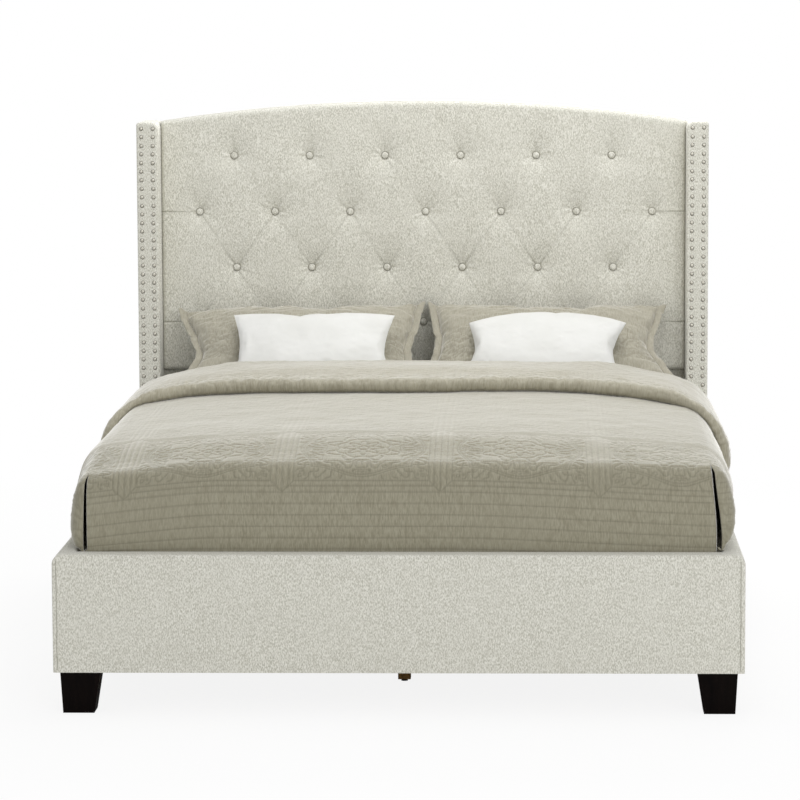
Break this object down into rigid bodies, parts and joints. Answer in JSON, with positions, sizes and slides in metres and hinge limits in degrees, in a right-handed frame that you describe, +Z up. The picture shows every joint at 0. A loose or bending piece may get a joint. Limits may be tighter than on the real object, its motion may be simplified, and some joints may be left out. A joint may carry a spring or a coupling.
{
  "type": "wingback bed",
  "caption": "Upholstered queen bed with a button-tufted arched headboard between nail-trimmed wings, slatted base, mattress, quilt and pillows.",
  "frame": {"origin": "on the floor under the middle of the bed", "axes": "+X to the right seen from the foot, +Y towards the headboard, +Z up"},
  "size_m": [1.692, 2.24, 1.415],
  "materials": {
    "linen": "matte",
    "pine": "matte",
    "plywood": "matte",
    "black_wood": "satin",
    "golden_wood": "satin",
    "nickel": "satin",
    "steel": "satin",
    "black_plastic": "matte",
    "ticking": "matte",
    "quilted_cotton": "matte",
    "white_cotton": "matte"
  },
  "bodies": {
    "bed": {"headboard_post_left": "pine", "headboard_post_right": "pine", "headboard_top_rail": "pine", "headboard_middle_rail": "pine", "headboard_bottom_rail": "pine", "headboard_board": "plywood", "tufted_pad": "linen", "tuft_buttons": "linen", "headboard_lower_panel": "linen", "headboard_back_cover": "linen", "wing_core_left": "plywood", "wing_core_right": "plywood", "wing_cover_left": "linen", "wing_cover_right": "linen", "wing_nailheads_left": "nickel", "wing_nailheads_right": "nickel", "footboard_core": "plywood", "footboard_cover": "linen", "front_leg_left": "black_wood", "front_leg_right": "black_wood", "rear_leg_left": "black_wood", "rear_leg_right": "black_wood", "front_leg_studs": "steel", "side_rail_core_left": "plywood", "side_rail_core_right": "plywood", "side_rail_cover_left": "linen", "side_rail_cover_right": "linen", "slat_ledger_left": "pine", "slat_ledger_right": "pine", "centre_beam": "pine", "centre_leg_1": "golden_wood", "centre_leg_2": "golden_wood", "centre_leg_3": "golden_wood", "rail_brackets": "steel", "bracket_screws": "steel", "beam_hangers": "steel", "mattress": "ticking", "quilt": "quilted_cotton", "sham_left": "quilted_cotton", "sham_right": "quilted_cotton", "lumbar_pillow_left": "white_cotton", "lumbar_pillow_right": "white_cotton", "slat_01": "pine", "slat_02": "pine", "slat_03": "pine", "slat_04": "pine", "slat_05": "pine", "slat_06": "pine", "slat_07": "pine", "slat_08": "pine", "slat_09": "pine", "slat_10": "pine", "slat_11": "pine", "slat_12": "pine"},
    "glide_1": {"levelling_glide_1": "black_plastic"},
    "glide_2": {"levelling_glide_2": "black_plastic"},
    "glide_3": {"levelling_glide_3": "black_plastic"}
  },
  "joints": [
    {"name": "glide_1_travel", "type": "slide", "parent": "bed", "child": "glide_1", "axis": [0, 0, -1], "range_m": [0, 0.007]},
    {"name": "glide_2_travel", "type": "slide", "parent": "bed", "child": "glide_2", "axis": [0, 0, -1], "range_m": [0, 0.007]},
    {"name": "glide_3_travel", "type": "slide", "parent": "bed", "child": "glide_3", "axis": [0, 0, -1], "range_m": [0, 0.007]}
  ]
}
